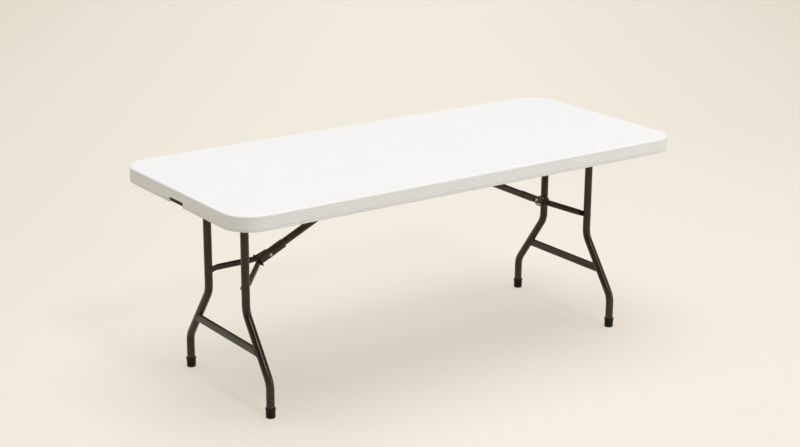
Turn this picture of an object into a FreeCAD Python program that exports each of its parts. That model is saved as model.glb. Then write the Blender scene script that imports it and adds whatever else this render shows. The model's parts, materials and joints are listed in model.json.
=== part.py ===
import FreeCAD, Part
import math

from FreeCAD import Placement, Rotation, Vector

# A banquet table with a moulded top and two wishbone leg sets that fold flat under it.
# X runs along the length, Y across the width, Z up. The origin is on the floor under the
# middle of the top. The left set stands at -X; the right set is the left one turned half round.

# Whole table
table_length = 1829.0
table_width = 800.0
table_height = 737.0

# Upper skin of the moulded top, with its skirt
corner_radius = 100.0
skirt_height = 52.0
skirt_wall = 6.0
top_skin = 3.0
top_edge_radius = 5.0
skirt_lip_radius = 2.0
groove_height = 1.6
groove_depth = 0.7
groove_height_shares = (0.2, 0.35, 0.5, 0.65, 0.8)
notch_width = 95.0
notch_height = 19.0
notch_corner_radius = 5.0

# Lower skin of the moulded top, with the cups that meet the upper skin
top_depth = 21.0
pan_skin = 2.5
pan_fit = 0.1
cup_base_radius = 20.0
cup_tip_radius = 9.0
cup_wall = 2.0
cup_pitch = 131.0
cup_end_margin = 125.0
cup_row_shares = (-0.67, -0.21, 0.21, 0.67)
boss_radius = 7.0
boss_height = 15.0

# Steel rails behind the skirt
rail_height = 28.5
rail_flange = 22.0
rail_lip = 8.0
rail_steel = 1.5
rail_bend_radius = 1.2
rail_gap = 0.4
rail_end_gap = 10.0
rail_screw_inset = 13.0
side_rail_screws = 5
end_rail_screws = 3
rail_screw_end_margin = 85.0

# Screws
screw_radius = 2.2
screw_length = 13.0
screw_head_radius = 4.6
screw_head_height = 2.6
screw_hole_clearance = 0.2
screw_slot_length = 5.0
screw_slot_width = 1.0
screw_slot_depth = 1.2

# Leg sets
leg_inset = 178.0
pivot_drop = 58.0
leg_tube_radius = 14.0
leg_tube_wall = 1.5
leg_spacing = 248.0
foot_spacing = 537.0
upper_bend_drop = 78.0
lower_bend_height = 118.0
leg_bend_radius = 75.0
pivot_tube_radius = 15.0
pivot_tube_wall = 1.5
pivot_tube_overhang = 60.0
plug_flange_radius = 18.0
plug_flange_length = 3.0
plug_flange_round = 1.8
plug_spigot_length = 12.0
stretcher_rise_share = 0.43
stretcher_depth = 30.0
stretcher_thickness = 15.0
stretcher_wall = 1.5
stretcher_offset = 5.5

# Foot caps
cap_radius = 16.6
cap_height = 34.0
cap_floor = 5.0
cap_taper = 1.0
cap_edge_radius = 2.5
cap_rim_height = 4.5
cap_rim_step = 0.9
cap_rim_round = 0.8
cap_groove_radius = 0.9
cap_groove_heights = (9.0, 15.0, 21.0)
cap_fit = 0.05

# Pivot brackets and bushes
bracket_end_margin = 17.0
bracket_steel = 4.0
bracket_base_length = 64.0
bracket_base_width = 40.0
bracket_base_steel = 2.5
bracket_eye_radius = 25.0
bracket_bend_radius = 2.0
bracket_screw_spacing = 42.0
bracket_screw_reach = 25.0
bush_wall = 1.95
bush_length = 7.0
bush_flange_radius = 21.0
bush_flange_length = 2.5
running_clearance = 0.05

# Brace, from the anchor under the top down to its knee
anchor_offset = 72.0
anchor_drop = 42.0
brace_radius = 12.5
brace_wall = 1.6
anchor_steel = 2.5
anchor_side_clearance = 0.4
anchor_length = 90.0
anchor_width = 76.0
anchor_ear_length = 30.0
anchor_screw_spacing_x = 66.0
anchor_screw_spacing_y = 56.0
pin_radius = 4.0
pin_head_radius = 6.0
pin_head_height = 2.0
head_round_share = 0.7
sleeve_upper_length = 64.0
sleeve_tail_length = 48.0
sleeve_side_drop = 11.0
sleeve_steel = 2.0
sleeve_end_round = 0.9
spacer_wall = 2.0
knee_clearance = 0.3
knee_sag = 11.0

# Arms from the knee to the legs
arm_pivot_drop = 279.0
arm_flat = 3.0
arm_half_height = 10.0
arm_depth = 22.0
arm_thickness = 19.5
arm_leg_clearance = 0.5
knee_flat_length = 46.5
knee_flare_length = 15.0
knee_flare_spread = 11.5
leg_flat_length = 14.0
leg_flare_length = 16.0
leg_flare_spread = 9.0
head_clearance = 0.1

# Lock ring
ring_wire_radius = 2.3
ring_place = 42.0
ring_top_gap = 0.5
ring_bottom_gap = 3.0
ring_side_gap = 0.5
ring_corner_radius = 7.0

# One overrun for every cut, and how near an edge must lie to a height to count as on it
overrun = 5.0
edge_tolerance = 0.1

# Worked-out heights and places
half_length = table_length / 2
half_width = table_width / 2
skirt_bottom = table_height - skirt_height
pan_bottom = table_height - top_depth
skin_bottom = table_height - top_skin
leg_x = half_length - leg_inset
leg_y = leg_spacing / 2
foot_y = foot_spacing / 2
pivot_height = table_height - pivot_drop
anchor_height = table_height - anchor_drop
arm_pivot_height = pivot_height - arm_pivot_drop
upper_bend_height = arm_pivot_height - upper_bend_drop
stretcher_height = lower_bend_height + (upper_bend_height - lower_bend_height) * stretcher_rise_share
pivot_tube_length = leg_spacing + 2 * pivot_tube_overhang
bracket_spacing = pivot_tube_length - 2 * bracket_end_margin
arm_inner_face = leg_y - leg_tube_radius
rail_face_x = half_length - skirt_wall - rail_gap
rail_face_y = half_width - skirt_wall - rail_gap

# At rest the knee hangs past the straight line from the anchor to the leg rivets, which locks it,
# and the brace lies level when folded. The knee's place along that line follows from both.
rise = anchor_height - arm_pivot_height
reach = leg_x - anchor_offset
span = math.hypot(reach, rise)
folded_gap = reach - arm_pivot_drop
folded_drop = anchor_height - pivot_height
closing = (span ** 2 - folded_gap ** 2 - folded_drop ** 2) / 2
narrowing = span ** 2 - folded_gap ** 2
discriminant = (span * closing) ** 2 - narrowing * (closing ** 2 - (folded_gap * knee_sag) ** 2)
knee_run = (span * closing + math.sqrt(discriminant)) / narrowing
brace_length = math.hypot(knee_run, knee_sag)
arm_length = math.hypot(span - knee_run, knee_sag)
span_slope = math.atan2(rise, reach)
brace_slope = math.degrees(span_slope + math.atan2(knee_sag, knee_run))
arm_slope = math.degrees(span_slope - math.atan2(knee_sag, span - knee_run))
knee_x = -anchor_offset - brace_length * math.cos(math.radians(brace_slope))
knee_height = anchor_height - brace_length * math.sin(math.radians(brace_slope))

# Widths that stack up across the knee
sleeve_half_width = brace_radius + sleeve_steel
spacer_radius = pin_radius + spacer_wall
spacer_half_length = math.sqrt(brace_radius ** 2 - spacer_radius ** 2)
arm_knee_inner = sleeve_half_width + knee_clearance
arm_knee_outer = arm_knee_inner + arm_flat
rivet_head_seat = arm_knee_outer + head_clearance
rivet_head_outer = rivet_head_seat + pin_head_height
arm_leg_outer = arm_inner_face - arm_leg_clearance
arm_leg_inner = arm_leg_outer - arm_flat

origin = Vector(0, 0, 0)
axis_x = Vector(1, 0, 0)
axis_y = Vector(0, 1, 0)
axis_z = Vector(0, 0, 1)


def block(low, high):
    size = high - low
    return Part.makeBox(size.x, size.y, size.z, low)


def rod(radius, start, end):
    run = end - start
    return Part.makeCylinder(radius, run.Length, start, run)


def pipe(radius, wall, start, end):
    run = (end - start).normalize()
    bore = rod(radius - wall, start - run * overrun, end + run * overrun)
    return rod(radius, start, end).cut(bore)


def segment(start, end):
    return Part.LineSegment(start, end).toShape()


def rounded_face(half_x, half_y, radius, height):
    inner_x = half_x - radius
    inner_y = half_y - radius
    diagonal = radius * math.sqrt(0.5)
    edges = []
    quarter_turns = ((1, -1), (1, 1), (-1, 1), (-1, -1))
    for turn, (side_x, side_y) in enumerate(quarter_turns):
        centre = Vector(side_x * inner_x, side_y * inner_y, height)
        along_x = centre + Vector(side_x * radius, 0, 0)
        along_y = centre + Vector(0, side_y * radius, 0)
        middle = centre + Vector(side_x * diagonal, side_y * diagonal, 0)
        first, last = (along_y, along_x) if turn % 2 == 0 else (along_x, along_y)
        if edges:
            edges.append(segment(edges[-1].Vertexes[-1].Point, first))
        edges.append(Part.Arc(first, middle, last).toShape())
    edges.append(segment(edges[-1].Vertexes[-1].Point, edges[0].Vertexes[0].Point))
    return Part.Face(Part.Wire(edges))


def rounded_slab(half_x, half_y, radius, low, high):
    return rounded_face(half_x, half_y, radius, low).extrude(axis_z * (high - low))


def edges_at_height(shape, height):
    return [e for e in shape.Edges if all(abs(v.Z - height) < edge_tolerance for v in e.Vertexes)]


def turned_half(shape):
    copy = shape.copy()
    copy.rotate(origin, axis_z, 180)
    return copy


def save(name, *solids):
    shape = solids[0] if len(solids) == 1 else Part.makeCompound(list(solids))
    shape.exportStep("parts/%s.step" % name)
    print("%-22s %9.1f mm3, %d solids, valid %s" % (name, shape.Volume, len(shape.Solids), shape.isValid()))


def spread(count, reach_each_way):
    return [reach_each_way * (2 * i / (count - 1) - 1) for i in range(count)]


# The moulded top

def top_shell():
    outer = rounded_slab(half_length, half_width, corner_radius, skirt_bottom, table_height)
    outer = outer.makeFillet(top_edge_radius, edges_at_height(outer, table_height))
    pocket = rounded_slab(half_length - skirt_wall, half_width - skirt_wall, corner_radius - skirt_wall,
                          skirt_bottom - overrun, skin_bottom)
    shell = outer.cut(pocket)
    shell = shell.makeFillet(skirt_lip_radius, edges_at_height(shell, skirt_bottom))
    grooves = []
    for share in groove_height_shares:
        low = skirt_bottom + skirt_height * share - groove_height / 2
        high = low + groove_height
        outside = rounded_slab(half_length + overrun, half_width + overrun, corner_radius + overrun,
                               low, high)
        inside = rounded_slab(half_length - groove_depth, half_width - groove_depth,
                              corner_radius - groove_depth, low - overrun, high + overrun)
        grooves.append(outside.cut(inside))
    return shell.cut(grooves + [end_notch(-1), end_notch(1)])


def end_notch(side):
    edge = side * half_length
    notch = block(Vector(edge - skirt_wall - overrun, -notch_width / 2, skirt_bottom - notch_height),
                  Vector(edge + skirt_wall + overrun, notch_width / 2, skirt_bottom + notch_height))
    along = [e for e in notch.Edges if abs(e.tangentAt(e.FirstParameter).x) > math.sqrt(0.5)]
    return notch.makeFillet(notch_corner_radius, along)


def cup_places():
    reach_each_way = half_length - cup_end_margin
    count = int(round(2 * reach_each_way / cup_pitch)) + 1
    rows = [half_width * share for share in cup_row_shares]
    return [Vector(x, y, pan_bottom) for x in spread(count, reach_each_way) for y in rows]


def underside_pan(screw_places):
    trim = skirt_wall + pan_fit
    sheet = rounded_slab(half_length - trim, half_width - trim, corner_radius - trim,
                         pan_bottom, pan_bottom + pan_skin)
    rise_to_skin = skin_bottom - pan_bottom
    slope = (cup_base_radius - cup_tip_radius) / rise_to_skin
    added = []
    removed = []
    for place in cup_places():
        added.append(Part.makeCone(cup_base_radius, cup_tip_radius, rise_to_skin, place))
        mouth = cup_base_radius - cup_wall + slope * overrun
        removed.append(Part.makeCone(mouth, mouth - slope * (overrun + rise_to_skin - cup_wall),
                                     overrun + rise_to_skin - cup_wall, place - axis_z * overrun))
    for place in screw_places:
        seat = Vector(place.x, place.y, pan_bottom)
        added.append(Part.makeCylinder(boss_radius, boss_height, seat))
        removed.append(rod(screw_radius, seat - axis_z * overrun, place + axis_z * screw_length))
    return sheet.fuse(added).cut(removed)


# Rails, screws and brackets under the top

def rail(length, hole_places):
    half = length / 2
    web = block(Vector(-half, 0, -rail_height), Vector(half, rail_steel, 0))
    flange = block(Vector(-half, 0, -rail_steel), Vector(half, rail_flange, 0))
    lip = block(Vector(-half, 0, -rail_height), Vector(half, rail_lip, rail_steel - rail_height))
    shape = web.fuse([flange, lip]).removeSplitter()
    outer_edges = [e for e in shape.Edges if all(abs(v.Y) < edge_tolerance for v in e.Vertexes)]
    bends = [e for e in outer_edges if e.Length > half]
    shape = shape.makeFillet(rail_bend_radius, bends)
    holes = []
    for place in hole_places:
        low = Vector(place, rail_screw_inset, -rail_steel - overrun)
        holes.append(screw_hole(low, rail_steel + 2 * overrun))
    return shape.cut(holes)


def screw_hole(low, depth):
    return rod(screw_radius + screw_hole_clearance, low, low + axis_z * depth)


def placed_rail(length, holes, angle, offset):
    shape = rail(length, holes)
    shape.translate(Vector(0, -offset, pan_bottom))
    shape.rotate(origin, axis_z, angle)
    return shape


def rail_screw_places(holes, angle, offset):
    turn = Rotation(axis_z, angle)
    seat = pan_bottom - rail_steel
    return [turn.multVec(Vector(hole, rail_screw_inset - offset, seat)) for hole in holes]


def screw(place):
    head_low = place - axis_z * screw_head_height
    head = rod(screw_head_radius, head_low, place)
    head = head.makeFillet(screw_head_height / 2, edges_at_height(head, head_low.z))
    shape = head.fuse(rod(screw_radius, place, place + axis_z * screw_length)).removeSplitter()
    long_half = screw_slot_length / 2
    short_half = screw_slot_width / 2
    for half_x, half_y in ((long_half, short_half), (short_half, long_half)):
        half_size = Vector(half_x, half_y, 0)
        shape = shape.cut(block(head_low - half_size - axis_z * overrun,
                                head_low + half_size + axis_z * screw_slot_depth))
    return shape


def bracket_screw_places():
    y = bracket_spacing / 2 + bracket_screw_reach
    seat = pan_bottom - bracket_base_steel
    half = bracket_screw_spacing / 2
    return [Vector(side_x * leg_x + step, side_y * y, seat)
            for side_x in (-1, 1) for side_y in (-1, 1) for step in (-half, half)]


def pivot_bracket(side_y):
    inner = bracket_spacing / 2 - bracket_steel / 2
    half = bracket_base_length / 2
    base = block(Vector(-leg_x - half, inner, pan_bottom - bracket_base_steel),
                 Vector(-leg_x + half, inner + bracket_base_width, pan_bottom))
    corners = [Vector(-leg_x - half, inner, pan_bottom), Vector(-leg_x + half, inner, pan_bottom),
               Vector(-leg_x + bracket_eye_radius, inner, pivot_height),
               Vector(-leg_x - bracket_eye_radius, inner, pivot_height)]
    ear = Part.Face(Part.makePolygon(corners + corners[:1])).extrude(axis_y * bracket_steel)
    centre = Vector(-leg_x, inner, pivot_height)
    eye = rod(bracket_eye_radius, centre, centre + axis_y * bracket_steel)
    shape = base.fuse([ear, eye]).removeSplitter()
    top_edges = edges_at_height(shape, pan_bottom)
    bends = [e for e in top_edges if all(abs(v.Y - inner) < edge_tolerance for v in e.Vertexes)]
    shape = shape.makeFillet(bracket_bend_radius, bends)
    bush_radius = pivot_tube_radius + running_clearance + bush_wall
    holes = [rod(bush_radius, centre - axis_y * overrun, centre + axis_y * (bracket_steel + overrun))]
    for step in (-bracket_screw_spacing / 2, bracket_screw_spacing / 2):
        low = Vector(step - leg_x, bracket_spacing / 2 + bracket_screw_reach, pan_bottom - overrun)
        holes.append(screw_hole(low, 2 * overrun))
    return across(shape.cut(holes), side_y)


def pivot_bush(side_y):
    inner = bracket_spacing / 2 - bracket_steel / 2
    bore = pivot_tube_radius + running_clearance
    centre = Vector(-leg_x, inner, pivot_height)
    sleeve = rod(bore + bush_wall, centre, centre + axis_y * bush_length)
    flange = rod(bush_flange_radius, centre - axis_y * bush_flange_length, centre)
    hole = rod(bore, centre - axis_y * (bush_flange_length + overrun),
               centre + axis_y * (bush_length + overrun))
    return across(sleeve.fuse(flange).cut(hole), side_y)


def across(shape, side_y):
    return shape if side_y > 0 else shape.mirror(origin, axis_y)


def anchor_screw_places():
    half_x = anchor_screw_spacing_x / 2
    half_y = anchor_screw_spacing_y / 2
    seat = pan_bottom - anchor_steel
    return [Vector(side * anchor_offset + x, y, seat)
            for side in (-1, 1) for x in (-half_x, half_x) for y in (-half_y, half_y)]


def brace_anchor():
    half_x = anchor_length / 2
    half_y = anchor_width / 2
    ear_half = anchor_ear_length / 2
    ear_inner = brace_radius + anchor_side_clearance
    shape = block(Vector(-anchor_offset - half_x, -half_y, pan_bottom - anchor_steel),
                  Vector(half_x - anchor_offset, half_y, pan_bottom))
    ears = []
    for side in (-1, 1):
        faces = sorted((side * ear_inner, side * (ear_inner + anchor_steel)))
        ears.append(block(Vector(-anchor_offset - ear_half, faces[0], anchor_height),
                          Vector(ear_half - anchor_offset, faces[1], pan_bottom)))
        ears.append(rod(ear_half, Vector(-anchor_offset, faces[0], anchor_height),
                        Vector(-anchor_offset, faces[1], anchor_height)))
    shape = shape.fuse(ears).removeSplitter()
    reach_y = ear_inner + anchor_steel + overrun
    holes = [rod(pin_radius, Vector(-anchor_offset, -reach_y, anchor_height),
                 Vector(-anchor_offset, reach_y, anchor_height))]
    for place in anchor_screw_places():
        holes.append(screw_hole(place - axis_z * overrun, anchor_steel + 2 * overrun))
    return shape.cut(holes)


def headed_pin(half_grip, centre):
    seat = axis_y * half_grip
    shape = rod(pin_radius, centre - seat, centre + seat)
    for side in (-1, 1):
        face = centre + seat * side
        head = rod(pin_head_radius, face, face + axis_y * side * pin_head_height)
        rim = [e for e in head.Edges if e.Closed and abs(e.CenterOfMass.y - face.y) > edge_tolerance]
        shape = shape.fuse(head.makeFillet(pin_head_height * head_round_share, rim))
    return shape.removeSplitter()


# One leg set, at the left end

def leg_path(side_y, low):
    top = Vector(-leg_x, side_y * leg_y, pivot_height)
    upper = Vector(-leg_x, side_y * leg_y, upper_bend_height)
    lower = Vector(-leg_x, side_y * foot_y, lower_bend_height)
    foot = Vector(-leg_x, side_y * foot_y, low)
    slant = math.atan2(foot_y - leg_y, upper_bend_height - lower_bend_height)
    setback = leg_bend_radius * math.tan(slant / 2)
    bow = leg_bend_radius * (1 / math.cos(slant / 2) - 1)
    edges = []
    start = top
    for corner, before, after in ((upper, top, lower), (lower, upper, foot)):
        back = (before - corner).normalize()
        ahead = (after - corner).normalize()
        inward = (back + ahead).normalize()
        edges.append(segment(start, corner + back * setback))
        arc = Part.Arc(corner + back * setback, corner + inward * bow, corner + ahead * setback)
        edges.append(arc.toShape())
        start = corner + ahead * setback
    edges.append(segment(start, foot))
    return Part.Wire(edges)


def swept_leg(side_y, radius, low):
    ring = Part.Wire(Part.makeCircle(radius, Vector(-leg_x, side_y * leg_y, pivot_height), axis_z))
    return leg_path(side_y, low).makePipeShell([ring], True, False)


def pivot_bar(radius):
    half = pivot_tube_length / 2
    return rod(radius, Vector(-leg_x, -half, pivot_height), Vector(-leg_x, half, pivot_height))


def arm_hole_place(side_y, face):
    return Vector(-leg_x, side_y * face, arm_pivot_height)


def leg(side_y):
    outer = swept_leg(side_y, leg_tube_radius, cap_floor)
    inner = swept_leg(side_y, leg_tube_radius - leg_tube_wall, cap_floor - overrun)
    hole = rod(pin_radius, arm_hole_place(side_y, arm_inner_face - overrun),
               arm_hole_place(side_y, leg_y + leg_tube_radius + overrun))
    return outer.cut([inner, pivot_bar(pivot_tube_radius), hole])


def pivot_tube():
    half = pivot_tube_length / 2
    return pipe(pivot_tube_radius, pivot_tube_wall,
                Vector(-leg_x, -half, pivot_height), Vector(-leg_x, half, pivot_height))


def pivot_plug(side_y):
    end = Vector(-leg_x, side_y * pivot_tube_length / 2, pivot_height)
    face = end + axis_y * side_y * plug_flange_length
    flange = rod(plug_flange_radius, end, face)
    rim = [e for e in flange.Edges if e.Closed and abs(e.CenterOfMass.y - face.y) < edge_tolerance]
    flange = flange.makeFillet(plug_flange_round, rim)
    spigot = rod(pivot_tube_radius - pivot_tube_wall, end - axis_y * side_y * plug_spigot_length, end)
    return flange.fuse(spigot).removeSplitter()


def oval_face(centre, thickness, depth, normal):
    across_dir = normal.cross(axis_z)
    side = across_dir * (thickness / 2)
    lift = axis_z * ((depth - thickness) / 2)
    tip = axis_z * (depth / 2)
    edges = [segment(centre - side - lift, centre - side + lift),
             Part.Arc(centre - side + lift, centre + tip, centre + side + lift).toShape(),
             segment(centre + side + lift, centre + side - lift),
             Part.Arc(centre + side - lift, centre - tip, centre - side - lift).toShape()]
    return Part.Wire(edges)


def stretcher():
    start = Vector(-leg_x - stretcher_offset, -foot_y, stretcher_height)
    outline = Part.Face(oval_face(start, stretcher_thickness, stretcher_depth, axis_y))
    bar = outline.extrude(axis_y * foot_spacing)
    bore_wire = oval_face(start - axis_y * overrun, stretcher_thickness - 2 * stretcher_wall,
                          stretcher_depth - 2 * stretcher_wall, axis_y)
    bore = Part.Face(bore_wire).extrude(axis_y * (foot_spacing + 2 * overrun))
    legs = [swept_leg(side_y, leg_tube_radius, cap_floor) for side_y in (-1, 1)]
    pieces = bar.cut([bore] + legs).Solids
    return max(pieces, key=lambda piece: piece.Volume)


def foot_cap(side_y):
    centre = Vector(-leg_x, side_y * foot_y, 0)
    body = Part.makeCone(cap_radius - cap_taper, cap_radius, cap_height, centre)
    body = body.makeFillet(cap_edge_radius, edges_at_height(body, 0))
    rim_low = cap_height - cap_rim_height
    rim = rod(cap_radius + cap_rim_step, centre + axis_z * rim_low, centre + axis_z * cap_height)
    rim_edges = edges_at_height(rim, rim_low) + edges_at_height(rim, cap_height)
    rim = rim.makeFillet(cap_rim_round, rim_edges)
    cuts = [rod(leg_tube_radius + cap_fit, centre + axis_z * cap_floor,
                centre + axis_z * (cap_height + overrun))]
    for height in cap_groove_heights:
        surface = cap_radius - cap_taper * (1 - height / cap_height)
        cuts.append(Part.makeTorus(surface, cap_groove_radius, centre + axis_z * height, axis_z))
    return body.fuse(rim).removeSplitter().cut(cuts)


def leg_rivet(side_y):
    inner = arm_hole_place(side_y, arm_inner_face)
    seat = arm_hole_place(side_y, leg_y + leg_tube_radius)
    return domed_stud(inner, seat, axis_y * side_y)


def domed_stud(tail, seat, outward):
    head = rod(pin_head_radius, seat, seat + outward * pin_head_height)
    rim = [e for e in head.Edges if (e.CenterOfMass - seat).dot(outward) > pin_head_height / 2 and e.Closed]
    head = head.makeFillet(pin_head_height * head_round_share, rim)
    return rod(pin_radius, tail, seat).fuse(head).removeSplitter()


# One brace with its knee, arms and lock ring, drawn along X from the knee towards the anchor

knee_place = Vector(knee_x, 0, knee_height)
brace_place = Placement(knee_place, Rotation(axis_y, -brace_slope))
arm_place = Placement(knee_place, Rotation(axis_y, -arm_slope))


def at_knee(shape, place):
    copy = shape.copy()
    copy.Placement = place.multiply(copy.Placement)
    return copy


def on_brace(shape):
    return at_knee(shape, brace_place)


def on_arms(shape):
    return at_knee(shape, arm_place)


def brace_tube():
    start = Vector(spacer_radius + sleeve_steel, 0, 0)
    end = Vector(brace_length + brace_radius, 0, 0)
    pin_centre = Vector(brace_length, 0, 0)
    side = axis_y * (brace_radius + overrun)
    hole = rod(pin_radius + running_clearance, pin_centre - side, pin_centre + side)
    return pipe(brace_radius, brace_wall, start, end).cut(hole)


def knee_sleeve():
    side = sleeve_half_width
    start = axis_x * -sleeve_tail_length
    end = axis_x * sleeve_upper_length
    past = axis_x * overrun
    crown = rod(side, start, end)
    walls = block(start - Vector(0, side, sleeve_side_drop), end + Vector(0, side, 0))
    bore = rod(brace_radius, start - past, end + past)
    mouth = block(start - past - Vector(0, brace_radius, side + overrun),
                  end + past + Vector(0, brace_radius, 0))
    hole = rod(pin_radius, axis_y * -(side + overrun), axis_y * (side + overrun))
    channel = crown.fuse(walls).removeSplitter()
    ends = (-sleeve_tail_length, sleeve_upper_length)
    rims = [e for e in channel.Edges if abs(e.CenterOfMass.z + sleeve_side_drop) > edge_tolerance
            and min(abs(e.CenterOfMass.x - place) for place in ends) < edge_tolerance]
    channel = channel.makeFillet(sleeve_end_round, rims)
    return channel.cut([bore, mouth, hole]).removeSplitter()


def knee_spacer():
    half = axis_y * spacer_half_length
    return pipe(spacer_radius, spacer_wall, half * -1, half)


def plate(start, end, inner, outer):
    return block(Vector(-end, inner, -arm_half_height), Vector(-start, outer, arm_half_height))


def flat_wire(place, inner, outer):
    low = [Vector(-place, y, z) for y, z in ((inner, -arm_half_height), (inner, arm_half_height),
                                             (outer, arm_half_height), (outer, -arm_half_height))]
    return Part.makePolygon(low + low[:1])


def arm():
    knee_middle = (arm_knee_inner + arm_knee_outer) / 2
    leg_middle = (arm_leg_inner + arm_leg_outer) / 2
    tube_start = knee_flat_length + knee_flare_length
    flat_start = arm_length - leg_flat_length
    tube_end = flat_start - leg_flare_length
    near_centre = Vector(-tube_start, knee_middle + knee_flare_spread, 0)
    far_centre = Vector(-tube_end, leg_middle - leg_flare_spread, 0)
    near = oval_face(near_centre, arm_thickness, arm_depth, axis_x * -1)
    far = oval_face(far_centre, arm_thickness, arm_depth, axis_x * -1)
    knee_wire = flat_wire(knee_flat_length, arm_knee_inner, arm_knee_outer)
    leg_wire = flat_wire(flat_start, arm_leg_inner, arm_leg_outer)
    runs = [Part.makeLoft(pair, True, True) for pair in ([knee_wire, near], [near, far], [far, leg_wire])]
    runs.append(plate(flat_start, arm_length, arm_leg_inner, arm_leg_outer))
    rounded_ends = ((0, arm_knee_inner, arm_knee_outer), (-arm_length, arm_leg_inner, arm_leg_outer))
    for place, inner, outer in rounded_ends:
        runs.append(rod(arm_half_height, Vector(place, inner, 0), Vector(place, outer, 0)))
    shape = plate(0, knee_flat_length, arm_knee_inner, arm_knee_outer).fuse(runs).removeSplitter()
    knee_hole = rod(pin_radius + running_clearance, Vector(0, 0, 0), Vector(0, arm_knee_outer + overrun, 0))
    leg_hole = rod(pin_radius, Vector(-arm_length, arm_leg_inner - overrun, 0),
                   Vector(-arm_length, arm_leg_outer + overrun, 0))
    return shape.cut([knee_hole, leg_hole])


def arm_stud():
    tail = Vector(-arm_length, arm_leg_outer, 0)
    return domed_stud(tail, Vector(-arm_length, arm_leg_inner, 0), axis_y * -1)


def lock_ring():
    wire = ring_wire_radius
    half_y = rivet_head_outer + ring_side_gap + wire
    high = sleeve_half_width + ring_top_gap + wire
    low = -(arm_half_height + ring_bottom_gap + wire)
    half_z = (high - low) / 2
    outline = rounded_face(half_y, half_z, ring_corner_radius, 0).OuterWire
    start = outline.OrderedEdges[0]
    point = start.valueAt(start.FirstParameter)
    profile = Part.Wire(Part.makeCircle(wire, point, start.tangentAt(start.FirstParameter)))
    ring = outline.makePipeShell([profile], True, False)
    ring.rotate(origin, axis_x, 90)
    ring.rotate(origin, axis_z, 90)
    ring.translate(Vector(-ring_place, 0, (high + low) / 2))
    return ring


# Everything that is fixed to the top

side_rail_length = table_length - 2 * (corner_radius + rail_end_gap)
end_rail_length = table_width - 2 * (corner_radius + rail_end_gap)
side_holes = spread(side_rail_screws, side_rail_length / 2 - rail_screw_end_margin)
end_holes = spread(end_rail_screws, end_rail_length / 2 - rail_screw_end_margin)
side_rail = (side_rail_length, side_holes, rail_face_y)
end_rail = (end_rail_length, end_holes, rail_face_x)
rails_by_turn = (("front_side_rail", side_rail), ("right_end_rail", end_rail),
                 ("back_side_rail", side_rail), ("left_end_rail", end_rail))

rail_screws = []
for turn, (rail_name, (length, holes, offset)) in enumerate(rails_by_turn):
    save(rail_name, placed_rail(length, holes, turn * 90, offset))
    rail_screws += rail_screw_places(holes, turn * 90, offset)

bracket_screws = bracket_screw_places()
anchor_screws = anchor_screw_places()
save("top_shell", top_shell())
save("underside_pan", underside_pan(rail_screws + bracket_screws + anchor_screws))
save("rail_screws", *[screw(place) for place in rail_screws])
save("bracket_screws", *[screw(place) for place in bracket_screws])
save("anchor_screws", *[screw(place) for place in anchor_screws])

# Both ends: the left set as drawn, the right set turned half round, so its front and back swap

anchor_grip = brace_radius + anchor_side_clearance + anchor_steel
anchor_centre = Vector(-anchor_offset, 0, anchor_height)
for end, placed in (("left", lambda shape: shape), ("right", turned_half)):
    for side_y in (-1, 1):
        is_front = (side_y < 0) == (end == "left")
        name = "%s_%s" % (end, "front" if is_front else "back")
        save(name + "_leg", placed(leg(side_y)))
        save(name + "_foot_cap", placed(foot_cap(side_y)))
        save(name + "_pivot_bracket", placed(pivot_bracket(side_y)))
        save(name + "_pivot_bush", placed(pivot_bush(side_y)))
        save(name + "_arm", placed(on_arms(across(arm(), side_y))))
    save(end + "_pivot_tube", placed(pivot_tube()))
    save(end + "_pivot_plugs", *[placed(pivot_plug(side_y)) for side_y in (-1, 1)])
    save(end + "_stretcher", placed(stretcher()))
    save(end + "_leg_rivets", *[placed(leg_rivet(side_y)) for side_y in (-1, 1)])
    save(end + "_brace_anchor", placed(brace_anchor()))
    save(end + "_anchor_pin", placed(headed_pin(anchor_grip, anchor_centre)))
    save(end + "_brace_tube", placed(on_brace(brace_tube())))
    save(end + "_knee_sleeve", placed(on_brace(knee_sleeve())))
    save(end + "_knee_spacer", placed(on_brace(knee_spacer())))
    save(end + "_knee_rivet", placed(on_brace(headed_pin(rivet_head_seat, origin))))
    save(end + "_arm_studs", *[placed(on_arms(across(arm_stud(), side_y))) for side_y in (-1, 1)])
    save(end + "_lock_ring", placed(on_brace(lock_ring())))

print("brace %.2f mm at %.3f degrees" % (brace_length, brace_slope))
print("arms %.2f mm at %.3f degrees" % (arm_length, arm_slope))
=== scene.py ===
import json
import math

import bpy
from mathutils import Matrix, Vector


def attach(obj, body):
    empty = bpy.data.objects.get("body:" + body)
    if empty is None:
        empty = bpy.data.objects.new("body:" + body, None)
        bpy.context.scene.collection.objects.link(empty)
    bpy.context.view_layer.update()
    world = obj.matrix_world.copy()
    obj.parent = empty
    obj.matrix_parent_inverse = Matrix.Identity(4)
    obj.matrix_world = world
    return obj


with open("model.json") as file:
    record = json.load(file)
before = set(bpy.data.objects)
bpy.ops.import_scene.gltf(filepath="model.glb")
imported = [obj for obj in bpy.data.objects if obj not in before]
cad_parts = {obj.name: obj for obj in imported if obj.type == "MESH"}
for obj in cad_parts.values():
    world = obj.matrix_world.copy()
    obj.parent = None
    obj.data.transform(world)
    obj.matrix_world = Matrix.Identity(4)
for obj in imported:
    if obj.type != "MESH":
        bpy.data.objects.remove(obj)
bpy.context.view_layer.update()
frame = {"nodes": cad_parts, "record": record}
nodes = frame["nodes"]
bpy.ops.object.select_all(action="DESELECT")
print("frame loaded:", len(nodes), "CAD nodes")


def join(tree, slot, value):
    if isinstance(value, Value):
        tree.links.new(value.socket, slot)
    else:
        slot.default_value = value


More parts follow.
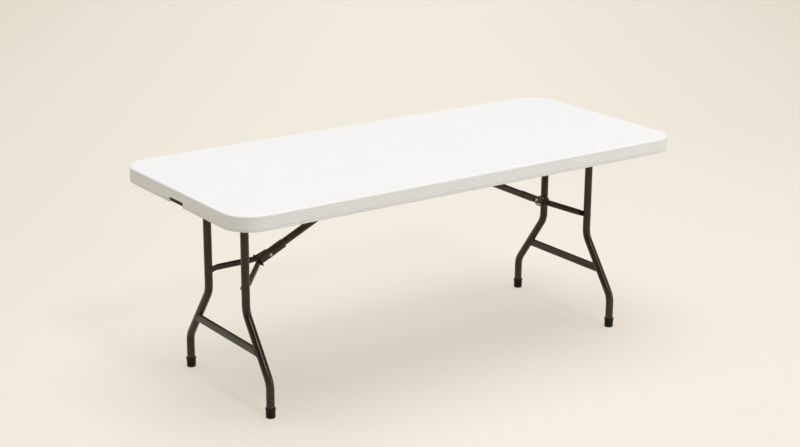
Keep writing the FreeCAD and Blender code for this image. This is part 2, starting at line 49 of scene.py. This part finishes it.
# one socket of a node tree, so that sums on it read as plain Python
class Value:
    def __init__(self, tree, socket):
        self.tree = tree
        self.socket = socket

    def step(self, operation, first, second):
        node = self.tree.nodes.new("ShaderNodeMath")
        node.operation = operation
        for slot, value in zip(node.inputs, (first, second)):
            join(self.tree, slot, value)
        return Value(self.tree, node.outputs[0])

    def __add__(self, other):
        return self.step("ADD", self, other)

    def __radd__(self, other):
        return self.step("ADD", other, self)

    def __sub__(self, other):
        return self.step("SUBTRACT", self, other)

    def __mul__(self, other):
        return self.step("MULTIPLY", self, other)

    def __truediv__(self, other):
        return self.step("DIVIDE", self, other)

    def __abs__(self):
        return self.step("ABSOLUTE", self, 0.0)


# a material or the world, and the one way its nodes are added
class Finish:
    def __init__(self, owner, ending="Material"):
        self.owner = owner
        self.ending = ending
        owner.use_nodes = True
        self.tree = owner.node_tree
        self.tree.nodes.clear()

    def node(self, kind, settings=None, out=0, **sockets):
        node = self.tree.nodes.new("ShaderNode" + kind)
        for key, value in (settings or {}).items():
            setattr(node, key, value)
        for key, value in sockets.items():  # a socket by its name, or by its place as i0, i1 and so on
            slot = int(key[1:]) if key[1:].isdigit() else key.replace("_", " ")
            join(self.tree, node.inputs[slot], value)
        return Value(self.tree, node.outputs[out])

    def surface(self, shader):
        output = self.tree.nodes.new("ShaderNodeOutput" + self.ending)
        self.tree.links.new(shader.socket, output.inputs["Surface"])
        return self.owner

    def place(self):
        return self.node("TexCoord", out="Object")

    def along(self, where, axis):
        return self.node("SeparateXYZ", out=axis, Vector=where)

    def point(self, x, y, z):
        return self.node("CombineXYZ", X=x, Y=y, Z=z)

    def turned(self, where, degrees, scale):
        return self.node("Mapping", Vector=where, Rotation=(0.0, 0.0, math.radians(degrees)), Scale=scale)

    def farFrom(self, where, x, y):
        moved = self.node("Mapping", Vector=where, Location=(-x, -y, 0.0))
        return self.node("VectorMath", {"operation": "LENGTH"}, out="Value", Vector=moved)

    def noise(self, where, scale, detail, roughness=0.5):
        return self.node("TexNoise", Vector=where, Scale=scale, Detail=detail, Roughness=roughness)

    def ramp(self, value, band, start=0.0, stop=1.0):  # clamped, and either end may be the larger
        return self.node("MapRange", Value=value, i1=band[0], i2=band[1], i3=start, i4=stop)

    def patches(self, where, scale, detail, band, most=1.0):
        return self.ramp(self.noise(where, scale, detail), band, 0.0, most)

    def relief(self, where, scale, strength, depth, detail=2.0):
        height = self.noise(where, scale, detail)
        return self.node("Bump", Strength=strength, Distance=depth, Height=height)

    def blend(self, amount, first, second):
        return self.node("Mix", {"data_type": "RGBA"}, out=2, i0=amount, i6=first, i7=second)

    def straight(self):  # 1 for what the camera sees itself, in a mirror or through glass
        kinds = ("Is Camera Ray", "Is Glossy Ray", "Is Transmission Ray")
        return self.ramp(sum(self.node("LightPath", out=kind) for kind in kinds), (0.0, 1.0))


def newFinish(name):
    return Finish(bpy.data.materials.new(name))


# in the looks below a noise is its scale and detail, patches are a noise with its band and most,
# and a relief is its scale, strength and depth

# white moulded skin: pebbled, faintly scuffed on top; its "dust" colour paints shade in the lines of the
# skirt and a shade line along its lower edge, and darkens the skirt in patches towards that edge
topLook = {"white": (0.870, 0.870, 0.866, 1), "cloud": (0.850, 0.850, 0.845, 1), "cloudNoise": (4.0, 3.0),
           "scuff": (0.80, 0.80, 0.79, 1), "scuffTurns": ((24, 3.0), (-38, 11.0), (71, 23.0)),
           "scuffFine": 420.0, "scuffLines": (1.0, 2.0, (0.66, 0.74), 0.30),
           "scuffPatches": (3.1, 2.0, (0.42, 0.66)), "scuffRough": 0.2,
           "dust": (0.60, 0.57, 0.52, 1), "firstLine": 0.6954, "linePitch": 0.0078,
           "lineBand": (0.08, 0.20), "grooveShadeMost": 0.43,
           "skirtFoot": (0.690, 0.6935), "skirtHead": (0.7295, 0.731),
           "lowDarkening": (0.685, 0.702), "lowDarkeningMost": 0.24, "lowDarkeningNoise": (30.0, 4.0),
           "lowShadeLine": (0.687, 0.6965), "lowShadeLineMost": 0.42,
           "rough": (0.41, 0.52), "roughNoise": (24.0, 3.0), "roughBand": (0.3, 0.7),
           "pebble": (520.0, 0.60, 0.0006), "shine": 0.35}


def makeTopFinish(look):
    f = newFinish("white moulded top")
    where = f.place()
    height = f.along(where, "Z")
    colour = f.blend(f.noise(where, *look["cloudNoise"]), look["white"], look["cloud"])
    scuffs = 0.0
    for degrees, stretch in look["scuffTurns"]:  # long thin rubs that cross each other
        drawn = f.turned(where, degrees, (stretch, look["scuffFine"], 1.0))
        scuffs = scuffs + f.patches(drawn, *look["scuffLines"])
    scuffs = scuffs * f.patches(where, *look["scuffPatches"])
    colour = f.blend(scuffs, colour, look["scuff"])
    turn = (height - look["firstLine"]) / look["linePitch"]
    fromLine = turn.step("PINGPONG", turn, 0.5)
    onSkirt = f.ramp(height, look["skirtFoot"]) * f.ramp(height, look["skirtHead"], 1.0, 0.0)
    # painted shade in the grooves of the skirt
    grooveShade = f.ramp(fromLine, look["lineBand"], look["grooveShadeMost"], 0.0) * onSkirt
    # darker in noisy patches towards the skirt's lower edge
    lowDarkening = f.ramp(height, look["lowDarkening"], look["lowDarkeningMost"], 0.0)
    lowDarkening = lowDarkening * f.noise(where, *look["lowDarkeningNoise"])
    # a painted shade line along the skirt's lower edge
    lowShadeLine = f.ramp(height, look["lowShadeLine"], look["lowShadeLineMost"], 0.0)
    # the dust colour here paints shade in the grooves and at the skirt's foot, and darkens the skirt
    # towards its lower edge
    colour = f.blend(grooveShade + lowDarkening + lowShadeLine, colour, look["dust"])
    rough = f.ramp(f.noise(where, *look["roughNoise"]), look["roughBand"], *look["rough"])
    rough = rough + scuffs * look["scuffRough"]
    normal = f.relief(where, *look["pebble"])
    return f.surface(f.node("BsdfPrincipled", Base_Color=colour, Roughness=rough, Normal=normal,
                            Specular_IOR_Level=look["shine"]))


# lower skin: the same white with flow marks from the mould and a duller, coarser surface
panLook = {"white": (0.80, 0.80, 0.79, 1), "flow": (0.74, 0.74, 0.72, 1), "flowTurn": 8,
           "flowStretch": (2.2, 9.0, 4.0), "swirlScale": 3.0, "swirlDetail": 2.0,
           "flowNoise": (2.4, 4.0, 0.62), "flowBand": (0.35, 0.72),
           "dust": (0.55, 0.52, 0.47, 1), "specks": (150.0, 3.0, (0.68, 0.80), 0.5),
           "cupHeights": (0.7165, 0.728), "cupDarkening": 0.22,
           "rough": (0.49, 0.63), "grain": (380.0, 0.25, 0.0005, 3.0)}


def makePanFinish(look):
    f = newFinish("white moulded underside")
    where = f.place()
    swirl = f.node("TexNoise", out="Color", Vector=where,
                   Scale=look["swirlScale"], Detail=look["swirlDetail"])
    drawn = f.turned(where, look["flowTurn"], look["flowStretch"])
    bent = f.node("VectorMath", {"operation": "ADD"}, i0=drawn, i1=swirl)
    flow = f.ramp(f.noise(bent, *look["flowNoise"]), look["flowBand"])
    colour = f.blend(flow, look["white"], look["flow"])
    # darker the deeper up into the cups, in the dust colour
    cupDarkening = f.ramp(f.along(where, "Z"), look["cupHeights"], 0.0, look["cupDarkening"])
    colour = f.blend(f.patches(where, *look["specks"]) + cupDarkening, colour, look["dust"])
    rough = f.ramp(flow, (0.0, 1.0), *look["rough"])
    normal = f.relief(where, *look["grain"])
    return f.surface(f.node("BsdfPrincipled", Base_Color=colour, Roughness=rough, Normal=normal))


# dark brown powder coat: orange peel, cloudy gloss, floor dust low on the legs
coatLook = {"coat": (0.0180, 0.0120, 0.0076, 1), "thin": (0.0300, 0.0212, 0.0142, 1),
            "thinPatches": (16.0, 4.0, (0.40, 0.75)), "dust": (0.17, 0.15, 0.125, 1),
            "dustHeights": (0.16, 0.02), "dustMost": 0.30, "dustLeast": 0.25, "dustRough": 0.6,
            "grit": (210.0, 3.0, (0.50, 0.72)), "bare": (0.30, 0.28, 0.25, 1), "scoreStretch": (5.0, 900.0),
            "scores": (1.0, 2.0, (0.63, 0.72), 0.55), "scorePatches": (22.0, 3.0, (0.42, 0.62)),
            "scoreRough": 0.12, "rough": (0.17, 0.26), "roughNoise": (60.0, 3.0), "roughBand": (0.3, 0.7),
            "peel": (520.0, 0.22, 0.0003), "shine": 0.40, "railShadeShine": 0.08,
            "shineTint": (1.0, 0.87, 0.72, 1)}


def makeCoatFinish(look, name, shine, rubs=None):
    f = newFinish(name)
    where = f.place()
    height = f.along(where, "Z")
    colour = f.blend(f.patches(where, *look["thinPatches"]), look["coat"], look["thin"])
    grit = look["dustLeast"] + f.patches(where, *look["grit"])
    dust = f.ramp(height, look["dustHeights"], 0.0, look["dustMost"]) * grit
    colour = f.blend(dust, colour, look["dust"])
    rough = f.ramp(f.noise(where, *look["roughNoise"]), look["roughBand"], *look["rough"])
    rough = rough + dust * look["dustRough"]
    if rubs:  # the sliding ring scores the brace lengthwise
        sideways = abs(f.along(where, "X"))
        run = sideways * -rubs["cos"] + height * rubs["sin"]
        lift = sideways * rubs["sin"] + height * rubs["cos"]
        long, fine = look["scoreStretch"]
        drawn = f.point(run * long, f.along(where, "Y") * fine, lift * fine)
        worn = f.patches(drawn, *look["scores"]) * f.patches(where, *look["scorePatches"])
        colour = f.blend(worn, colour, look["bare"])
        rough = rough + worn * look["scoreRough"]
    normal = f.relief(where, *look["peel"])
    return f.surface(f.node("BsdfPrincipled", Base_Color=colour, Roughness=rough, Normal=normal,
                            Specular_IOR_Level=shine, Specular_Tint=look["shineTint"]))


# zinc plate on rivets, screws and rings: small spangles with dull stains
zincLook = {"pale": (0.46, 0.44, 0.40, 1), "dull": (0.33, 0.31, 0.28, 1), "spangle": 620.0,
            "stain": (0.24, 0.20, 0.15, 1), "stains": (130.0, 4.0, (0.56, 0.74), 0.5), "stainRough": 0.25,
            "rough": (0.30, 0.44)}


def makeZincFinish(look):
    f = newFinish("zinc plate")
    where = f.place()
    flake = f.along(f.node("TexVoronoi", out="Color", Vector=where, Scale=look["spangle"]), "X")
    colour = f.blend(flake, look["pale"], look["dull"])
    stains = f.patches(where, *look["stains"])
    colour = f.blend(stains, colour, look["stain"])
    rough = f.ramp(flake, (0.0, 1.0), *look["rough"]) + stains * look["stainRough"]
    return f.surface(f.node("BsdfPrincipled", Base_Color=colour, Metallic=1.0, Roughness=rough))


# black plastic of the foot caps and plugs, scuffed grey where a cap meets the floor
capLook = {"black": (0.0060, 0.0045, 0.0033, 1), "grey": (0.0110, 0.0088, 0.0066, 1),
           "greyNoise": (90.0, 3.0), "dust": (0.15, 0.135, 0.115, 1),
           "scuffHeights": (0.007, 0.0005), "scuffMost": 0.55,
           "scuffLeast": 0.2, "scuffRough": 0.35, "grit": (340.0, 3.0, (0.46, 0.70)), "roughness": 0.46,
           "grain": (1100.0, 0.25, 0.0003), "shine": 0.20, "shineTint": (1.0, 0.88, 0.74, 1)}


def makeCapFinish(look):
    f = newFinish("black cap plastic")
    where = f.place()
    colour = f.blend(f.noise(where, *look["greyNoise"]), look["black"], look["grey"])
    grit = look["scuffLeast"] + f.patches(where, *look["grit"])
    scuff = f.ramp(f.along(where, "Z"), look["scuffHeights"], 0.0, look["scuffMost"]) * grit
    colour = f.blend(scuff, colour, look["dust"])
    rough = look["roughness"] + scuff * look["scuffRough"]
    normal = f.relief(where, *look["grain"])
    return f.surface(f.node("BsdfPrincipled", Base_Color=colour, Roughness=rough, Normal=normal,
                            Specular_IOR_Level=look["shine"], Specular_Tint=look["shineTint"]))


# pale nylon of the bushes, with a little grease
nylonLook = {"pale": (0.78, 0.76, 0.70, 1), "aged": (0.66, 0.62, 0.53, 1), "agedNoise": (60.0, 3.0),
             "grease": (0.24, 0.21, 0.17, 1), "greasePatches": (95.0, 4.0, (0.55, 0.72), 0.45),
             "greaseRough": 0.2, "roughness": 0.38, "grain": (900.0, 0.15, 0.0002)}


def makeNylonFinish(look):
    f = newFinish("natural nylon")
    where = f.place()
    colour = f.blend(f.noise(where, *look["agedNoise"]), look["pale"], look["aged"])
    grease = f.patches(where, *look["greasePatches"])
    colour = f.blend(grease, colour, look["grease"])
    rough = look["roughness"] + grease * look["greaseRough"]
    normal = f.relief(where, *look["grain"])
    return f.surface(f.node("BsdfPrincipled", Base_Color=colour, Roughness=rough, Normal=normal))


joints = {entry["name"]: entry for entry in frame["record"]["behaviour"]["joints"]}
slide = Vector(joints["left_lock_slide"]["axis"])
coat = makeCoatFinish(coatLook, "dark powder coat", coatLook["shine"])
# a duller copy of the coat on the rails, as painted shade in the skirt's notch: the rails are the same
# paint as the legs
shadeDulledCoat = makeCoatFinish(coatLook, "rail coat dulled as painted shade", coatLook["railShadeShine"])
ringWay = {"cos": abs(slide.x), "sin": slide.z}
rubbedCoat = makeCoatFinish(coatLook, "scored powder coat", coatLook["shine"], ringWay)
finishes = {"white_top": makeTopFinish(topLook), "dark_steel": coat, "zinc_steel": makeZincFinish(zincLook),
            "black_plastic": makeCapFinish(capLook), "nylon": makeNylonFinish(nylonLook)}
special = {"underside_pan": makePanFinish(panLook),
           "left_brace_tube": rubbedCoat, "right_brace_tube": rubbedCoat,
           "front_side_rail": shadeDulledCoat, "back_side_rail": shadeDulledCoat,
           "left_end_rail": shadeDulledCoat, "right_end_rail": shadeDulledCoat}
for entry in frame["record"]["subparts"]:
    shown = nodes[entry["node"]]
    finish = special.get(entry["node"], finishes[entry["material_slot"]])
    if not shown.material_slots:
        shown.data.materials.append(finish)
    for place in shown.material_slots:
        place.material = finish
print("finishes on the CAD nodes")


# weld beads where the legs meet the pivot tubes and where the stretchers meet the legs
weldBead = {"size": 0.0017, "lift": 0.2, "steps": 176, "sides": 10, "ripples": 22, "ripple": 0.12,
            "legRadius": 0.014, "pivotRadius": 0.015, "legSpacing": 0.248, "footSpacing": 0.537,
            "upperBend": 0.322, "lowerBend": 0.118, "stretcherHigh": 0.20572, "stretcherRound": 0.0075,
            "stretcherFlat": 0.0075, "stretcherOut": 0.0055, "unitTube": 0.1, "nearby": 0.001}


def ovalPoint(share, radius, flat):  # a place on an oval, that share of the way round, and the way out
    half = 2 * flat + math.pi * radius
    side, run = divmod(share % 1.0 * 2 * half, half)
    turn = max(0.0, run - 2 * flat) / radius
    out = Vector((math.cos(turn), math.sin(turn)))
    flip = 1 - 2 * side
    return (out * radius + Vector((0.0, min(run, 2 * flat) - flat))) * flip, out * flip


def pivotSeam(share, legX, across, pivotHigh):  # the leg's end lies on the pivot tube like a saddle
    (x, y), (outX, outY) = ovalPoint(share, weldBead["legRadius"], 0.0)
    sag = math.sqrt(weldBead["pivotRadius"] ** 2 - x ** 2)
    place = Vector((legX + x, across * weldBead["legSpacing"] / 2 + y, pivotHigh - sag))
    return place, Vector((outX, outY, 0.0)) + Vector((x, 0.0, -sag)) / weldBead["pivotRadius"]


def stretcherSeam(share, legX, across):  # the stretcher's oval end lies on the slanted leg
    (x, z), (outX, outZ) = ovalPoint(share, weldBead["stretcherRound"], weldBead["stretcherFlat"])
    x += math.copysign(weldBead["stretcherOut"], legX)
    high = weldBead["stretcherHigh"] + z
    spread = (weldBead["footSpacing"] - weldBead["legSpacing"]) / 2
    lean = spread / (weldBead["upperBend"] - weldBead["lowerBend"])
    steep = math.hypot(1.0, lean)
    face = math.sqrt(weldBead["legRadius"] ** 2 - x ** 2)
    y = weldBead["legSpacing"] / 2 + (weldBead["upperBend"] - high) * lean - face * steep
    legOut = Vector((x, -across * face / steep, -lean * face / steep)) / weldBead["legRadius"]
    return Vector((legX + x, across * y, high)), legOut + Vector((outX, 0.0, outZ))


def addBead(name, body, seam, *where):  # a rippled ring laid along a seam
    bpy.ops.object.select_all(action="DESELECT")
    bpy.ops.mesh.primitive_torus_add(major_radius=1.0, minor_radius=weldBead["unitTube"],
                                     major_segments=weldBead["steps"], minor_segments=weldBead["sides"])
    bead = bpy.context.object
    bead.name = name
    for corner in bead.data.vertices:
        angle = math.atan2(corner.co.y, corner.co.x)
        share = angle / (2 * math.pi)
        place, out = seam(share, *where)
        ahead = seam(share + weldBead["nearby"], *where)[0] - seam(share - weldBead["nearby"], *where)[0]
        ahead.normalize()
        out = (out - ahead * out.dot(ahead)).normalized()
        swell = weldBead["size"] * (1.0 + weldBead["ripple"] * math.cos(weldBead["ripples"] * angle))
        away = (math.hypot(corner.co.x, corner.co.y) - 1.0) / weldBead["unitTube"] + weldBead["lift"]
        aside = corner.co.z / weldBead["unitTube"]
        corner.co = place + (out * away + out.cross(ahead) * aside) * swell
    bpy.ops.object.mode_set(mode="EDIT")
    bpy.ops.mesh.select_all(action="SELECT")
    bpy.ops.mesh.normals_make_consistent(inside=False)
    bpy.ops.object.mode_set(mode="OBJECT")
    bpy.ops.object.shade_smooth()
    bead.data.materials.append(coat)
    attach(bead, body)


for end in ("left", "right"):
    legX, _, pivotHigh = joints[end + "_leg_fold"]["pos_m"]
    for side, across in (("front", -1.0), ("back", 1.0)):
        addBead("%s_%s_pivot_weld" % (end, side), end + "_leg_set", pivotSeam, legX, across, pivotHigh)
        addBead("%s_%s_stretcher_weld" % (end, side), end + "_leg_set", stretcherSeam, legX, across)
print("weld beads on the leg sets")


# pale paper floor: the camera sees it partly by its own glow, so the shadow stays as light as in a studio
floorLook = {"size": 80.0, "sink": 0.0004, "roughness": 0.92, "glow": 0.55,
             "paper": (0.770, 0.712, 0.622, 1), "shown": (0.800, 0.738, 0.695, 1),
             "fibreNoise": (0.8, 2.0), "fibreMost": 0.02,
             "seen": (0.876, 0.819, 0.689, 1), "dim": (0.631, 0.587, 0.444, 1),
             "stripTurn": 35.4, "stripReach": (0.2, 3.4), "stripPower": 1.5,
             "lightPool": (0.936, 0.865, 0.751, 1), "lightPoolAt": (0.7, -1.6),
             "lightPoolReach": (0.6, 4.2), "lightPoolMost": 0.75,
             "far": (0.820, 0.755, 0.650, 1), "lampAt": (5.0, -6.0), "lampReach": (2.0, 6.2)}


def makeFloorFinish(look):
    f = newFinish("cream paper floor")
    where = f.place()
    fromStrip = abs(f.along(f.turned(where, look["stripTurn"], (1.0, 1.0, 1.0)), "X"))
    dimmed = f.ramp(fromStrip, look["stripReach"])  # the paper is lit along one strip
    seen = f.blend(dimmed.step("POWER", dimmed, look["stripPower"]), look["seen"], look["dim"])
    # a painted pool of light on the paper
    inLightPool = f.ramp(f.farFrom(where, *look["lightPoolAt"]), look["lightPoolReach"], look["lightPoolMost"], 0.0)
    seen = f.blend(inLightPool, seen, look["lightPool"])
    nearLamp = f.ramp(f.farFrom(where, *look["lampAt"]), look["lampReach"], 1.0, 0.0)
    seen = f.blend(nearLamp, seen, look["far"])  # no bright patch below the panel
    straight = f.straight()
    paper = f.blend(straight, look["paper"], look["shown"])  # the light it throws back is the warmer
    paper = f.blend(f.noise(where, *look["fibreNoise"]) * look["fibreMost"], paper, look["dim"])
    lit = f.node("BsdfPrincipled", Base_Color=paper, Roughness=look["roughness"])
    glow = f.node("Emission", Color=seen, Strength=1.0)
    amount = look["glow"] + nearLamp * (1.0 - look["glow"])
    return f.surface(f.node("MixShader", i0=straight * amount, i1=lit, i2=glow))


bpy.ops.mesh.primitive_plane_add(size=floorLook["size"], location=(0, 0, -floorLook["sink"]))
floor = bpy.context.object
floor.name = "studio_floor"
floor.data.materials.append(makeFloorFinish(floorLook))

# an even room, with a pale wall seen behind the floor's far edge
roomLook = {"light": (1.0, 0.99, 0.975, 1), "strength": 0.20,
            "wall": (0.80, 0.74, 0.64, 1), "wallTop": (0.14, 0.24)}


def lightRoom(look, world):
    f = Finish(world, "World")
    upwards = f.along(f.node("TexCoord", out="Generated"), "Z")
    onWall = f.straight() * f.ramp(upwards, look["wallTop"], 1.0, 0.0)
    room = f.node("Background", Color=look["light"], Strength=look["strength"])
    wall = f.node("Background", Color=look["wall"], Strength=1.0)
    return f.surface(f.node("MixShader", i0=onWall, i1=room, i2=wall))


bpy.context.scene.world = lightRoom(roomLook, bpy.context.scene.world or bpy.data.worlds.new("studio"))

# a wide lamp overhead, a small one in front, a panel at the right and a faint warm one behind
lamps = {"overhead": {"kind": "SUN", "spread": 58, "power": 2.38, "at": (0, 0, 4), "turn": (-3, 2, 0)},
         "front_key": {"kind": "SUN", "spread": 10, "power": 0.55, "at": (0, 0, 4), "turn": (43, 0, 1)},
         "right_panel": {"kind": "AREA", "spread": 3.0, "power": 126, "at": (5.0, -6.0, 2.6),
                         "turn": (76, 0, 40)},
         "back_fill": {"kind": "SUN", "spread": 30, "power": 0.30, "at": (0, 0, 4), "turn": (70, 0, -140),
                       "colour": (1.0, 0.84, 0.66)}}
for name, lamp in lamps.items():
    bpy.ops.object.light_add(type=lamp["kind"], location=lamp["at"])
    light = bpy.context.object
    light.name = name
    light.data.energy = lamp["power"]
    light.data.color = lamp.get("colour", (1.0, 1.0, 1.0))
    light.rotation_euler = [math.radians(degrees) for degrees in lamp["turn"]]
    if lamp["kind"] == "SUN":
        light.data.angle = math.radians(lamp["spread"])
    else:
        light.data.size = lamp["spread"]
        light.visible_camera = False

# the photo's view, fitted to the table's corners, legs and feet
cameraPlace = {"at": (-3.2876, -4.5768, 2.2221), "yaw": 35.411, "pitch": 17.338, "roll": 0.339,
               "lens": 74.958, "sensor": 36, "farthest": 200}
bpy.ops.object.camera_add(location=cameraPlace["at"])
camera = bpy.context.object
turn = (Matrix.Rotation(math.radians(-cameraPlace["yaw"]), 4, "Z")
        @ Matrix.Rotation(math.radians(90 - cameraPlace["pitch"]), 4, "X")
        @ Matrix.Rotation(math.radians(cameraPlace["roll"]), 4, "Z"))
camera.rotation_euler = turn.to_euler()
camera.data.lens = cameraPlace["lens"]
camera.data.sensor_width = cameraPlace["sensor"]
camera.data.clip_end = cameraPlace["farthest"]
bpy.context.scene.camera = camera
bpy.context.scene.view_settings.view_transform = "Standard"
print("stage, light and camera set")
